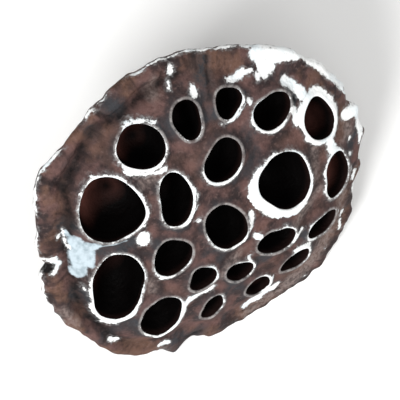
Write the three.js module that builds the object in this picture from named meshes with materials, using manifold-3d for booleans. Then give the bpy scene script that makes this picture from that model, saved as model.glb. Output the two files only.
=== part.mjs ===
// A dried lotus seed head, lying on its side as it does on a table.
// It is one grown piece: a domed face with seed cells, a pleated cup under it and a stub of stalk.
// It is shaped as it grew, with the face up and the stalk down, and is then laid down.
// Millimetres, +Z up.

import * as THREE from "three";
import { mergeVertices } from "three/addons/utils/BufferGeometryUtils.js";
import Module from "manifold-3d";

const wasm = await Module();
wasm.setup();

const { cos, sin, abs, exp, hypot, atan2, min, max, PI } = Math;
const degrees = PI / 180;

// Driving dimensions
const EDGE_RADIUS = 48; // mean radius of the face, out to its edge
const FACE_RISE = 14; // how far the middle of the face stands above its edge
const EDGE_THICKNESS = 2.4; // the skin's thickness at the face's edge
const CUP_DEPTH = 40; // from the face's edge down to the stalk
const STALK_RADIUS = 5.6;
const STALK_END = 49.6; // from the face's edge down to the cut end of the stalk
const LEAN = 39 * degrees; // how far the pod's axis points up when it lies
const REST_REACH = 43.8; // from the axis to the side of the edge that is pressed flat by lying
const REST_CUT = 0.65; // how much the surface it lies on has worn off the lowest spots
const LYING_CENTRE_X = -0.2; // where the face's edge has its centre once the pod lies
const LYING_CENTRE_Y = -7.1;

// The edge's outline and the folds of the cup
const FOLDS = 9; // broad folds round the cup
const PLEATS = 22; // narrow pleats on them
const FOLD_HEIGHT = 3.4;
const PLEAT_HEIGHT = 1.3;
const EDGE_SCALLOP = 0.9; // how far the folds still wave the edge
const EDGE_WAVE = 1.1; // how far the edge rises and dips
const GROOVE_DEPTH = 1.5; // the dip between the cells and the edge
const GROOVE_AT = 0.88; // its place, as a share of the edge's radius

// The seed cells
const CELL_FOCUS = 72; // the cells all point at a spot this far below the middle of the edge
const CELL_BASE_DEPTH = 7; // depth of a cell, before its width is added
const CELL_DEPTH_SHARE = 0.45; // depth added for each millimetre of width
const CELL_SQUARENESS = 2.3; // 2 is an ellipse, more is squarer
const LIP_HEIGHT = 0.9; // the raised lip round each mouth
const LIP_WIDTH = 1.7;
const LIP_CREST = 0.55; // how far out of the mouth the lip is highest
const CELL_SIDE_LENGTH = 2.8; // length of one side of a cell's faceted wall
const PLUG_TOP = 4; // how far a cell's cutter stands out of the face

// The stalk's cut end
const CHANNELS = 8; // air channels, in a ring round one in the middle
const CHANNEL_RADIUS = 0.85;
const CHANNEL_RING = 3.3;
const CHANNEL_DEPTH = 5;
const CHANNEL_SIDES = 7;

const ROUND_STEPS = 90; // steps round the whole pod

const POD_BROWN = 0x634945;

// Each cell's mouth on the face, as seen square on with the pod lying: its middle, across and up
// from the axis, its two half-widths, and the slope of the longer one in degrees.
const CELLS = [
  { at: [-9, 31], half: [6.6, 6.1], slope: 137 },
  { at: [5.5, 31], half: [5.6, 3.5], slope: 79 },
  { at: [17.5, 27.5], half: [4.2, 3.5], slope: 64 },
  { at: [27.5, 18], half: [5.8, 4.5], slope: 167 },
  { at: [38.5, 4.5], half: [6.3, 5], slope: 95 },
  { at: [9, 15.5], half: [6.5, 5], slope: 38 },
  { at: [21.5, -2], half: [9.7, 7.2], slope: 106 },
  { at: [36.5, -16], half: [6.9, 4.4], slope: 72 },
  { at: [-24, 19.5], half: [9.7, 8.4], slope: 83 },
  { at: [-7.5, 13.5], half: [8, 4.3], slope: 74 },
  { at: [1, -2.5], half: [7, 5.2], slope: 99 },
  { at: [12, -18], half: [6, 3.2], slope: 150 },
  { at: [27, -26], half: [5, 3], slope: 168 },
  { at: [-15.5, -2.5], half: [5.7, 4.9], slope: 65 },
  { at: [-32, -5.5], half: [12.5, 6.6], slope: 70 },
  { at: [-10, -15.5], half: [4.3, 3.4], slope: 58 },
  { at: [-0.5, -20.5], half: [3.8, 2.6], slope: 168 },
  { at: [15.5, -31.5], half: [4.3, 2.7], slope: 162 },
  { at: [3, -32.5], half: [3.7, 3], slope: 156 },
  { at: [-10.5, -29], half: [4.7, 2.7], slope: 57 },
  { at: [-24.5, -21.5], half: [8.2, 5.3], slope: 60 },
];

// Bumps and dents of the edge: angle round the face and half-width, in degrees, and height.
const EDGE_BUMPS = [
  { at: 137, height: 3, width: 6 },
  { at: 50, height: -1.4, width: 9 },
  { at: -118, height: -3, width: 7 },
  { at: -138, height: 1.8, width: 9 },
  { at: -160, height: 1, width: 12 },
];

// The cup's outside, from the stalk's neck up: share of the edge's radius, and depth below the edge.
const CUP_PROFILE = [
  [0.165, 38],
  [0.24, 34.5],
  [0.34, 30.5],
  [0.445, 26],
  [0.55, 21],
  [0.65, 16],
  [0.755, 11],
  [0.845, 7],
  [0.915, 4.4],
  [0.985, EDGE_THICKNESS],
];
// Rings of the face, from its edge in: shares of the edge's radius.
const FACE_SHARES = [1, 0.975, 0.93, 0.87, 0.79, 0.66, 0.5, 0.3];

const smoothStep = (low, high, value) => {
  const t = min(max((value - low) / (high - low), 0), 1);
  return t * t * (3 - 2 * t);
};

// The smaller of two lengths, with the corner between them rounded off.
const softMin = (a, b, rounding) => min(a, b) - max(rounding - abs(a - b), 0) ** 2 / (4 * rounding);

// One for each ridge and nought for each crease, uneven round the cup.
const foldWave = (angle) => abs(sin((FOLDS * angle) / 2 + 0.9 * sin(angle + 0.4) + 0.5 * sin(2 * angle)));
const pleatWave = (angle) =>
  abs(sin((PLEATS * angle) / 2 + 1.2 * sin(2 * angle + 1) + 0.7 * sin(3 * angle)));

// The edge's radius at an angle: a lobed round, cut straight along the side that the pod lies on.
function edgeRadius(angle) {
  const lobes = cos(2 * angle) + 0.6 * cos(angle) - 0.9 * sin(angle);
  let round = EDGE_RADIUS + lobes + EDGE_SCALLOP * (foldWave(angle) - 0.64);
  for (const { at, height, width } of EDGE_BUMPS) {
    round += height * exp((cos(angle - at * degrees) - 1) / (width * degrees) ** 2);
  }
  const towardsRest = max(cos(angle + PI / 2), 0.3);
  return softMin(round, REST_REACH / towardsRest, 2);
}

const edgeLift = (angle) => EDGE_WAVE * sin(3 * angle - 0.5) * smoothStep(-0.9, -0.3, sin(angle));

// Height of the face above the edge's plane: a dome with a groove near its edge, deepest on the left.
function faceHeight(share, angle) {
  const dome = FACE_RISE * (1 - share * share);
  const groove = exp(-(((share - GROOVE_AT) / 0.055) ** 2)) * (0.35 + 0.65 * cos((angle - 2.9) / 2) ** 2);
  return dome - GROOVE_DEPTH * groove + edgeLift(angle) * share ** 4;
}

function heightAt(x, y) {
  const angle = atan2(y, x);
  return faceHeight(hypot(x, y) / edgeRadius(angle), angle);
}

// A closed solid from a three.js geometry: shared corners are merged and collapsed triangles dropped.
function solidFrom(geometry) {
  const bare = geometry.clone();
  bare.deleteAttribute("normal");
  bare.deleteAttribute("uv");
  const merged = mergeVertices(bare, 1e-4);
  const corners = merged.index.array;
  const kept = [];
  for (let i = 0; i < corners.length; i += 3) {
    const [a, b, c] = corners.subarray(i, i + 3);
    if (a !== b && b !== c && c !== a) kept.push(a, b, c);
  }
  const vertProperties = merged.attributes.position.array;
  return new wasm.Manifold(new wasm.Mesh({ numProp: 3, vertProperties, triVerts: new Uint32Array(kept) }));
}

// A turned surface about +Z, from [radius, height] points listed upwards.
// Each corner of it is then moved by a rule that is given its radius and angle.
function turned(points, sides, move) {
  const profile = points.map(([radius, height]) => new THREE.Vector2(radius, height));
  const geometry = new THREE.LatheGeometry(profile, sides).rotateX(PI / 2);
  const position = geometry.attributes.position;
  const corner = new THREE.Vector3();
  for (let i = 0; i < position.count; i++) {
    corner.fromBufferAttribute(position, i);
    move(corner, hypot(corner.x, corner.y), atan2(corner.y, corner.x));
    position.setXYZ(i, corner.x, corner.y, corner.z);
  }
  return geometry;
}

function toPolar(corner, radius, angle) {
  corner.x = radius * cos(angle);
  corner.y = radius * sin(angle);
}

// The pod's outside: stalk, pleated cup and domed face, before the cells are cut.
function podBody() {
  const points = [
    [0, -STALK_END],
    [STALK_RADIUS - 0.5, -STALK_END],
    [STALK_RADIUS, -STALK_END + 0.6],
    [STALK_RADIUS - 0.4, -STALK_END + 5],
    [STALK_RADIUS + 0.4, -CUP_DEPTH - 1],
    ...CUP_PROFILE.map(([share, depth]) => [share * EDGE_RADIUS, -depth]),
    ...FACE_SHARES.map((share) => [share * EDGE_RADIUS, FACE_RISE * (1 - share * share)]),
    [0, FACE_RISE],
  ];
  return solidFrom(turned(points, ROUND_STEPS, moveToSkin));
}

// Moves a corner of the turned body to the pod's true skin.
function moveToSkin(corner, radius, angle) {
  const share = radius / EDGE_RADIUS;
  if (radius < 1e-6) return;
  if (corner.z > -1e-6) {
    toPolar(corner, share * edgeRadius(angle), angle);
    corner.z = faceHeight(share, angle);
    return;
  }
  const depth = -corner.z;
  const upper = 1 - smoothStep(6, CUP_DEPTH, depth);
  const middle = smoothStep(1, 14, depth) * (1 - smoothStep(CUP_DEPTH - 10, STALK_END - 3, depth));
  const outline = EDGE_RADIUS + upper * (edgeRadius(angle) - EDGE_RADIUS);
  const folds = FOLD_HEIGHT * (foldWave(angle) - 0.7) + PLEAT_HEIGHT * (pleatWave(angle) - 0.7);
  toPolar(corner, share * outline + middle * min(1, share * 2.2) * folds, angle);
  corner.z += upper * edgeLift(angle);
}

// A cell's outline: its radius at an angle from its longer half-width.
function cellRadius(cell, angle) {
  const across = (abs(cos(angle)) / cell.half[0]) ** CELL_SQUARENESS;
  const along = (abs(sin(angle)) / cell.half[1]) ** CELL_SQUARENESS;
  const uneven = 1 + 0.035 * sin(3 * angle + cell.at[0]) + 0.025 * sin(5 * angle + cell.at[1]);
  return uneven * (across + along) ** (-1 / CELL_SQUARENESS);
}

const cellSides = (cell) => max(12, Math.round((PI * (cell.half[0] + cell.half[1])) / CELL_SIDE_LENGTH));

// Where a cell's mouth sits on the face, turned so that its own +Z points straight out of the cell.
function cellPlace(cell) {
  const mouth = new THREE.Vector3(cell.at[0], cell.at[1], heightAt(...cell.at));
  const outwards = mouth.clone().sub(new THREE.Vector3(0, 0, -CELL_FOCUS)).normalize();
  const tilt = new THREE.Quaternion().setFromUnitVectors(new THREE.Vector3(0, 0, 1), outwards);
  const spin = new THREE.Quaternion().setFromAxisAngle(new THREE.Vector3(0, 0, 1), cell.slope * degrees);
  return new THREE.Matrix4().compose(mouth, tilt.multiply(spin), new THREE.Vector3(1, 1, 1));
}

// The raised lip: a low plug that follows the face and reaches past the mouth all round.
// Each ring of it is a share of the mouth's outline, plus a distance out, at a height over the face.
function lipSolid(cell) {
  const rings = [
    { share: 0, out: 0, rise: -3 },
    { share: 0.6, out: 0, rise: -3 },
    { share: 1, out: LIP_WIDTH, rise: -0.5 },
    { share: 1, out: LIP_CREST, rise: LIP_HEIGHT },
    { share: 0, out: 0, rise: LIP_HEIGHT },
  ];
  const place = cellPlace(cell);
  const points = rings.map((ring, index) => [Math.ceil(ring.share), index]);
  const geometry = turned(points, cellSides(cell), (corner, radius, angle) => {
    const ring = rings[Math.round(corner.z)];
    toPolar(corner, ring.share * cellRadius(cell, angle) + ring.out, angle);
    corner.z = 0;
    corner.applyMatrix4(place);
    corner.z = heightAt(corner.x, corner.y) + ring.rise;
  });
  return solidFrom(geometry);
}

// The hollow of a cell: straight below its mouth, then narrowing to a round bottom.
function cellHollow(cell) {
  const depth = CELL_BASE_DEPTH + CELL_DEPTH_SHARE * (cell.half[0] + cell.half[1]);
  const points = [
    [0, -depth],
    [0.5, -0.93 * depth],
    [0.8, -0.7 * depth],
    [0.95, -0.3 * depth],
    [1, 0],
    [1.06, PLUG_TOP],
    [0, PLUG_TOP],
  ];
  const place = cellPlace(cell);
  const geometry = turned(points, cellSides(cell), (corner, scale, angle) => {
    toPolar(corner, scale * cellRadius(cell, angle), angle);
    corner.applyMatrix4(place);
  });
  return solidFrom(geometry);
}

// The air channels in the stalk's cut end: a ring of them round one in the middle.
function stalkChannels() {
  const spots = [[0, 0]];
  for (let i = 0; i < CHANNELS; i++) {
    const angle = (2 * PI * i) / CHANNELS;
    spots.push([CHANNEL_RING * cos(angle), CHANNEL_RING * sin(angle)]);
  }
  return spots.map(([x, y]) => {
    const length = 2 * CHANNEL_DEPTH;
    const channel = new THREE.CylinderGeometry(CHANNEL_RADIUS, CHANNEL_RADIUS, length, CHANNEL_SIDES);
    return solidFrom(channel.rotateX(PI / 2).translate(x, y, -STALK_END));
  });
}

// Lays the pod down on the side of its edge and the end of its stalk.
function layDown(solid) {
  const height = REST_REACH * cos(LEAN) + EDGE_THICKNESS * sin(LEAN) - REST_CUT;
  const turn = new THREE.Matrix4().makeRotationX(PI / 2 - LEAN);
  return solid.transform(turn.setPosition(LYING_CENTRE_X, LYING_CENTRE_Y, height).elements);
}

// Everything above the surface that the pod lies on.
function aboveSurface() {
  const side = 400;
  return solidFrom(new THREE.BoxGeometry(side, side, side).translate(0, 0, side / 2));
}

function geometryFrom(solid) {
  const mesh = solid.getMesh();
  const geometry = new THREE.BufferGeometry();
  geometry.setAttribute("position", new THREE.BufferAttribute(mesh.vertProperties, 3));
  geometry.setIndex(new THREE.BufferAttribute(mesh.triVerts, 1));
  geometry.computeVertexNormals();
  return geometry;
}

let grown = podBody();
for (const cell of CELLS) grown = grown.add(lipSolid(cell));
for (const cell of CELLS) grown = grown.subtract(cellHollow(cell));
for (const channel of stalkChannels()) grown = grown.subtract(channel);
const lying = layDown(grown).intersect(aboveSurface());

const pod = new THREE.Mesh(
  geometryFrom(lying),
  new THREE.MeshStandardMaterial({ color: POD_BROWN, roughness: 0.8, metalness: 0 }),
);
pod.name = "lotus_pod";

const lotusPod = new THREE.Group();
lotusPod.add(pod);

export default lotusPod;
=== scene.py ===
"""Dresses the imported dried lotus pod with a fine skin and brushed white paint, on a stage for its picture.

The skin is worked out in millimetres in the frame that the pod grew in, face up and stalk down.
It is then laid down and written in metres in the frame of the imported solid.
"""

import math
from typing import NamedTuple

import bpy
import numpy as np
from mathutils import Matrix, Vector
from mathutils.geometry import delaunay_2d_cdt


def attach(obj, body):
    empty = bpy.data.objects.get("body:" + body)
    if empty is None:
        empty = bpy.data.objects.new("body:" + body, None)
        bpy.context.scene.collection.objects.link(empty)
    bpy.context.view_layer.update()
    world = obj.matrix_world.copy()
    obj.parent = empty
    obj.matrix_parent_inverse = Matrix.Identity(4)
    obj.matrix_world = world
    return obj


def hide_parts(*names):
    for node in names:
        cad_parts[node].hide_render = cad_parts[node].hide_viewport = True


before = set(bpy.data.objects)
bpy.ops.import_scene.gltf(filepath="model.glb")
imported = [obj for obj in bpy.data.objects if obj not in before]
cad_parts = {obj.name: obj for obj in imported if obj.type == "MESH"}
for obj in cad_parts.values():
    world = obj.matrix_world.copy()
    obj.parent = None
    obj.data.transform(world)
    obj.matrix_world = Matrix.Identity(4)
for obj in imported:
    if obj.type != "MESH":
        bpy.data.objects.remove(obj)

bl_info = {
    "name": "Dried Lotus Pod",
    "version": (1, 0, 0),
    "blender": (4, 5, 0),
    "location": "View3D > Sidebar > Lotus Pod",
    "description": "Builds a dried lotus pod's skin with brushed white paint, and a stage for its picture",
    "category": "Object",
}

MM = 0.001
NODE = "lotus_pod"
SKIN_NAME = "lotus_pod_skin"
SLOT_NAME = "pod_skin"

# The pod as it grew, in millimetres
EDGE_RADIUS = 48.0
FACE_RISE = 14.0
EDGE_THICKNESS = 2.4
CUP_DEPTH = 40.0
STALK_RADIUS = 5.6
STALK_END = 49.6
FOLDS = 9
PLEATS = 22
FOLD_HEIGHT = 3.4
PLEAT_HEIGHT = 1.3
FOLD_LEVEL = 0.7  # folds and pleats stand out where their wave is above this
FOLD_DRIFTS = ((0.9, 1, 0.4), (0.5, 2, 0))  # slow sines that shift the folds: size, turns and phase
PLEAT_DRIFTS = ((1.2, 2, 1), (0.7, 3, 0))
LOBE_RIGHT = 0.6
LOBE_DOWN = 0.9
EDGE_SCALLOP = 0.9
SCALLOP_LEVEL = 0.64  # about the mean of the folds' wave
EDGE_WAVE = 1.1
EDGE_WAVE_PHASE = 0.5
EDGE_WAVE_FADE = (-0.9, -0.3)  # the wave sets in between these sines of the angle
GROOVE_DEPTH = 1.5
GROOVE_AT = 0.88
GROOVE_WIDTH = 0.055
GROOVE_LEAST = 0.35  # share of its depth where it is shallowest
GROOVE_SIDE = 2.9  # the angle at which it is deepest
CELL_FOCUS = 72.0
CELL_BASE_DEPTH = 7.0
CELL_DEPTH_SHARE = 0.45
CELL_SQUARENESS = 2.15
CELL_UNEVEN = 0.006
LIP_CREST = 0.45
LIP_FOOT = 2.2
CHANNELS = 8
CHANNEL_RADIUS = 0.85
CHANNEL_RING = 3.3
CHANNEL_DEPTH = 3.0
CHANNEL_WALL = (CHANNEL_RADIUS - 0.3, CHANNEL_RADIUS + 0.1)

# How the pod lies
LEAN = math.radians(39)
REST_REACH = 43.8  # from the axis to the straight side of the edge
REST_LEAST = 0.3  # least cosine that the straight side is worked out with
REST_ROUNDING = 2
REST_CUT = 0.65
LYING_CENTRE_X = -0.2
LYING_CENTRE_Y = -7.1
LYING_CENTRE_Z = REST_REACH * math.cos(LEAN) + EDGE_THICKNESS * math.sin(LEAN) - REST_CUT
LYING_CENTRE = np.array([LYING_CENTRE_X, LYING_CENTRE_Y, LYING_CENTRE_Z])
FACE_ACROSS = np.array([1.0, 0.0, 0.0])
FACE_UP = np.array([0.0, math.sin(LEAN), math.cos(LEAN)])
FACE_OUT = np.array([0.0, -math.cos(LEAN), math.sin(LEAN)])

# The camera looks at the pod as the photograph does
CAMERA_AZIMUTH = math.radians(-33.2)
CAMERA_ELEVATION = math.radians(76.2)
CAMERA_CLIP = (0.01, 20)
VIEW_WIDTH = 108.0
VIEW_SHIFT_RIGHT = 0.9
VIEW_SHIFT_UP = -0.9
LENS = 1000.0
SENSOR = 36.0

# The stage, in metres
FLOOR_REACH = 4.0
FLOOR_ROUGHNESS = 0.9
LIGHT_AIM = (0, 0, 0.03)
KEY_PLACE = (-0.7, -0.35, 0.8)
KEY_SIZE = 0.45
FILL_PLACE = (0.2, -0.6, 1.1)
FILL_SIZE = 1.0


class Cell(NamedTuple):
    """A seed cell's mouth on the face, in millimetres and degrees, and the paint round it.

    Its middle is given across and up from the axis, with two half-widths and the slope of the longer one.
    Three blunt corners stand out by the share that corner gives, the first at corner_at from the longer one.
    Line is the width of the paint all round it, and thick is its width on the side that thick_at names.
    The last two give painted light inside it: how strongly a reddish lit wall is painted low on one side, and
    the side of the face on which that is.
    """

    x: float
    y: float
    long: float
    short: float
    slope: float
    corner: float
    corner_at: float
    line: float
    thick_at: float
    thick: float
    # strength and side of the painted light on the cell's inner wall
    glow: float = 0.15
    painted_light_at: float = 124


CELLS = (
    Cell(-8.8, 30.8, 6.6, 6.2, 139, 0.03, 46, 0.1, -120, 1.0, 0.6),
    Cell(5.6, 30.9, 5.6, 3.9, 78, 0.05, -48, -0.35, -90, 0.2),
    Cell(17.8, 27.9, 4.4, 3.8, 36, 0.08, -45, -0.3, -60, 0.5),
    Cell(27.5, 17.7, 6.4, 4.8, 174, 0.04, -38, 0, -140, 1.1),
    Cell(38.6, 4.4, 7.1, 5.3, 103, 0.04, -38, 1.6, 68, 2.2, 0.2, -60),
    Cell(8.8, 15.7, 6.4, 5.2, 31, 0.03, 29, -0.35, -125, 0.9),
    Cell(21.8, -2.6, 10.1, 7.7, 109, 0.05, 47, 0.6, -152, 3.6),
    Cell(36.5, -15.9, 7.5, 5, 76, 0.04, 11, 0.2, 135, 1.1, 0.9, -60),
    Cell(-24.2, 19, 9.7, 8.8, 89, 0.05, 2, 0.3, 15, 0.9, 1.0),
    Cell(-7.6, 13.4, 8.1, 4.6, 71, 0.05, 27, 0.3, -30, 0.9),
    Cell(1.2, -2.8, 7.9, 5.6, 100, 0.01, -6, -0.35, -120, 0.6),
    Cell(12.4, -18.8, 6.7, 4, 146, 0.04, -20, -0.25, 10, 0.5),
    Cell(26.9, -27, 5.8, 3.5, 165, 0.05, -3, 0, 150, 0.6),
    Cell(-15.4, -2.7, 6.1, 5.2, 49, 0.06, 54, -0.2, -130, 0.5),
    Cell(-31.7, -5.2, 12.3, 7, 66, 0.04, -54, 0.4, -140, 1.1, 0.6),
    Cell(-10.5, -15.1, 4.3, 4, 56, 0.05, 35, -0.25, 10, 0.5),
    Cell(-0.4, -20.8, 4.4, 3.4, 138, 0.05, -10, -0.3, 10, 0.6),
    Cell(15.6, -32, 5.1, 3.5, 165, 0.06, -2, -0.2, 30, 0.6),
    Cell(3.2, -32.6, 4.6, 3.6, 112, 0.07, 52, -0.25, 0, 0.9, 0.25, -80),
    Cell(-10.8, -29, 5.1, 2.8, 59, 0.05, 33, -0.3, 0, 0.3),
    Cell(-24.6, -22.3, 8.2, 5.6, 59, 0.03, -22, 0, -55, 1.3),
)


class Recipe(NamedTuple):
    """What the settings ask of the skin: its fineness, and the sizes of what stands on it, in millimetres."""

    spacing: float
    rows: int
    columns: int
    lip_height: float
    furrow_depth: float
    paint_spread: float


# Strokes of white paint between the cells: both ends, across and up, and half-width
STROKES = (
    (21.1, 31.8, 24.5, 31.1, 0.7),
    (24.5, 31.1, 27.7, 29.8, 0.9),
    (28.7, 27.5, 28.7, 27.2, 0.8),
    (13.3, 23.7, 18.5, 23.5, 0.3),
    (18.5, 23.5, 22.6, 24.8, 0.5),
    (23, 25, 23.2, 23.6, 0.8),
    (11, 35.7, 10.8, 35.2, 1.1),
    (8.6, 42.6, 8.4, 42, 1.4),
    (6.4, 40, 5.8, 39.2, 0.5),
    (-11.2, 36.5, -7.1, 37.6, 0.4),
    (-7.1, 37.6, -2.1, 35, 0.6),
    (-16, 26.9, -11.8, 23.6, 0.6),
    (-11.8, 23.6, -6.2, 22.8, 0.6),
    (-28.9, 27.5, -24.2, 29.4, 0.3),
    (-24.2, 29.4, -19.4, 27.5, 0.5),
    (-15.7, 15.7, -15.6, 15.4, 0.7),
    (-18.1, 11.3, -18, 11, 0.6),
    (-1.9, 11.4, -2.4, 10.6, 0.5),
    (-3.8, 8.2, -4.2, 7.6, 0.5),
    (34.8, 21, 36.2, 18.4, 1.3),
    (36.2, 18.4, 37.4, 14.4, 1.6),
    (33, 13.5, 32.4, 9, 1.0),
    (31, 32.6, 39.4, 25.6, 1.8),
    (31.6, 30, 31, 27, 1.6),
    (34.5, 28.6, 33, 27, 1.8),
    (39.4, 25.6, 42.6, 22.4, 1.2),
    (42.6, 22.4, 45.6, 15.4, 0.9),
    (45.6, 15.4, 48.4, 7.6, 0.9),
    (48.4, 7.6, 49.6, 2.2, 0.8),
    (38.7, -3, 38.2, -8.6, 1.5),
    (46.6, -2.8, 49.6, -5, 1.8),
    (49.4, -5.5, 49.4, -10.8, 1.4),
    (49, -10.8, 47.2, -15.2, 0.8),
    (46.2, -18.7, 45.6, -19.6, 0.8),
    (42.7, -14.3, 42.6, -15.4, 0.5),
    (44.6, -10.1, 44.4, -11, 0.5),
    (42.4, -21.6, 40.7, -23, 0.8),
    (40.6, -25.6, 39.6, -27.5, 0.7),
    (41.6, -19, 41.3, -19.8, 0.5),
    (32.8, -28.4, 32.9, -29.4, 0.4),
    (34.5, -30.3, 33.4, -31.2, 0.7),
    (32.3, -32.6, 31, -35.1, 0.6),
    (26.6, -37.9, 25.6, -38.8, 0.4),
    (17.7, -43, 16.6, -43.4, 0.4),
    (-19.8, 6.9, -20.2, 6.2, 1.9),
    (-37.2, 16.9, -38, 11, 0.4),
    (-43, 10.2, -42.3, 7.6, 1.0),
    (-42.4, 7.2, -44.8, 5.8, 0.7),
    (-45.4, 11.6, -43.2, 10.8, 0.6),
    (-38.9, 16.6, -39, 16.3, 0.6),
    (9, -3.8, 7.2, -8.4, 0.9),
    (7.6, -12.3, 8.4, -12.9, 1.1),
    (3.9, -17.2, 3.5, -20.2, 0.5),
    (20.5, -21.8, 17, -23.4, 0.8),
    (17, -23.4, 14, -23.6, 0.3),
    (16.8, -28, 20.9, -29.8, 0.9),
    (22.4, -25.8, 23.8, -24.2, 0.7),
    (6.3, -31.2, 7.8, -32.1, 0.7),
    (-1.6, -39.7, 3, -39.9, 1.3),
    (3, -39.9, 8.7, -39.5, 1.0),
    (-39.6, -0.6, -39.6, -2.6, 0.3),
    (-39, -17, -35.9, -18.9, 0.8),
    (-35.9, -18.9, -34, -18.3, 0.6),
    (-38.6, -25.7, -37.6, -26.5, 0.9),
    (-27.4, -35.6, -25.4, -37.2, 0.9),
    (-17.7, -21, -8.7, -21, 1.1),
    (-18, -22.4, -22, -29.7, 1.2),
    (-22, -29.7, -26, -29.8, 0.9),
    (-4.9, 4.3, -4.4, 4.5, 0.6),
    (-20.8, -7.6, -20.4, -8.4, 0.6),
)

# Strokes of thin bluish paint that ran between two cells on the left
WASHES = (
    (-37, 16.2, -35.8, 14, 0.7),
    (-35.8, 13.4, -36.2, 11, 1.7),
    (-33.4, 11.6, -31.8, 10.6, 0.9),
    (-33.6, 8.6, -35.4, 5.6, 1.1),
    (-34.4, 11, -34.6, 9.4, 1.9),
    (-36.4, 10, -37.4, 6.6, 2.1),
    (-37.4, 6.2, -38.9, 3.6, 1.7),
    (-32.8, 9.8, -31.2, 10.2, 0.8),
    (-31, 10.2, -24, 8.4, 0.2),
)

# Strokes over places that are pale with dust
DUSTS = (
    (36, -25, 29, -32, 1.2),
    (29, -32, 20, -39.5, 2.0),
    (20, -39.5, 11, -42.5, 2.0),
    (11, -42.5, -1.5, -43, 1.6),
    (20, -18, 30, -15, 0.8),
    (30, -10, 33.4, -2, 0.6),
    (45.4, -5, 45.2, -8.4, 0.9),
    (45.2, -8.4, 42, -8.8, 0.5),
    (1.7, -14, -5.2, -18.2, 0.6),
    (-23.7, -7.9, -24, -11, 0.6),
    (-14.2, 21.2, -8.4, 22.9, 0.6),
    (3.4, 42.5, 1, 40, 0.8),
    (-46.9, -7.5, -45, -14, 0.6),
)

# Strokes along creases in the face, which are pressed in and painted dark with shade
CREASES = (
    (19.2, 40.2, 16.5, 35.2, 0.3),
    (16.5, 35.2, 13.6, 31.2, 0.3),
    (6.2, 43.9, 4.8, 39.5, 0.3),
    (-13.9, 42.4, -11.9, 39.6, 0.6),
    (33.4, 16.8, 34.6, 15.2, 0.6),
    (-38.3, 13.8, -40.6, 5, 0.3),
    (-22.5, -39.2, -15.5, -39.1, 0.4),
    (11.8, -32.4, 19.1, -34.2, 0.3),
    (6.1, -18.1, 13.7, -23.9, 0.3),
    (-4, -41.4, -0.1, -42.6, 0.1),
    (-0.1, -42.6, 9, -41.8, 0.1),
)
CREASE_DEPTH = 0.5

# Bumps and dents of the edge: angle and half-width, in degrees, and height
EDGE_BUMPS = ((137, 6, 3.0), (50, 9, -1.4), (-118, 7, -3.0), (-138, 9, 1.8), (-160, 12, 1.0))

# White along the very edge: the angles between which it runs, in degrees, and its half-width
EDGE_PAINT = (
    (2, 48, 0.9),
    (46, 93, 0.5),
    (102, 106, 0.6),
    (108, 113, 0.8),
    (125, 135, 0.6),
    (136, 150, 0.7),
    (155, 163, 0.6),
    (171, 194, 0.8),
    (218, 226, 0.4),
    (229, 236, 0.8),
    (263, 267, 0.6),
    (310, 320, 0.6),
    (322, 328, 0.6),
    (330, 336, 0.7),
    (338, 344, 0.6),
    (347, 358, 1.2),
)

# Places on the face that are slate grey: middle across and up, reach, and strength
SLATES = (
    (-30, 9.4, 3, 1.0),
    (-26.5, 8.2, 3, 1.0),
    (-23.4, 7.4, 2.4, 1.0),
    (-36, 18, 3, 0.9),
    (-40.6, -4.5, 3.6, 1.0),
    (-39.4, -14, 3, 0.7),
    (-9.7, 41.6, 3.8, 1.0),
    (-17.5, 38.5, 2.6, 0.8),
    (16.5, 40, 3.2, 1.0),
    (15.5, 36, 3, 1.0),
    (13, 33, 2.4, 0.9),
    (11.5, 28.5, 2.4, 0.9),
    (36, 15.6, 1.6, 0.8),
    (44.6, -11.6, 2.2, 0.7),
    (-22, -37.6, 3.4, 1.0),
    (-16, -39, 2.8, 0.8),
    (-24.5, -42, 4.6, 1.0),
    (19.6, -25, 2.4, 0.9),
    (17.5, -14.6, 2.4, 0.6),
    (-3.2, -26.4, 3.2, 0.9),
    (7.5, -22, 2.6, 0.8),
    (-14, -20, 2.6, 0.7),
)

# A furrow between the outer cells and the edge, pressed in and painted dark with shade: angle in degrees, and
# share of the edge's radius
FURROW = (
    (66, 0.93),
    (80, 0.9),
    (103, 0.878),
    (114, 0.935),
    (120, 0.93),
    (128, 0.9),
    (135, 0.865),
    (144, 0.848),
    (161, 0.845),
    (178, 0.85),
    (189, 0.868),
    (201, 0.907),
    (209, 0.909),
    (232, 0.93),
)
FURROW_WIDTH = 0.028
ROLL_HEIGHT = 0.7  # the margin outside the furrow is rolled up by this much

# White splashes that run down the cup from the edge: angle in degrees, half-width and length
SPLASHES = (
    (-152, 3.2, 10),
    (-141, 1.6, 6),
    (-96, 1.8, 7),
    (-60, 3.4, 12),
    (-49, 1.7, 7),
    (-26, 1.6, 8),
    (10, 2.4, 9),
    (33, 3.6, 14),
    (42, 2.0, 10),
    (51, 1.4, 6),
    (84, 3.2, 13),
    (93, 1.6, 8),
    (122, 3.4, 11),
    (131, 1.5, 6),
    (160, 3.2, 14),
    (170, 2.0, 8),
)

# A nick in the edge on the left, painted dark with shade: across, up and reach
NICK = (-45.2, 8.3, 1.9)

# Small tags, swells and nicks of the edge: angle and half-width, in degrees, and height
EDGE_TAGS = (
    (-120, 2.4, 3.6),
    (168.8, 1.5, -2.2),
    (104, 1.8, -0.8),
    (88, 1.5, -0.7),
    (0, 1.5, -0.9),
    (-9, 4, 1.2),
    (-73, 12, 2.2),
    (-94, 8, 1.7),
    (-47, 5, 0.6),
)
FRAYED_SIDE = -45  # the side where the edge is most frayed, in degrees
FRAYED_MORE = 1.1  # how much more ragged it is there

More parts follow.
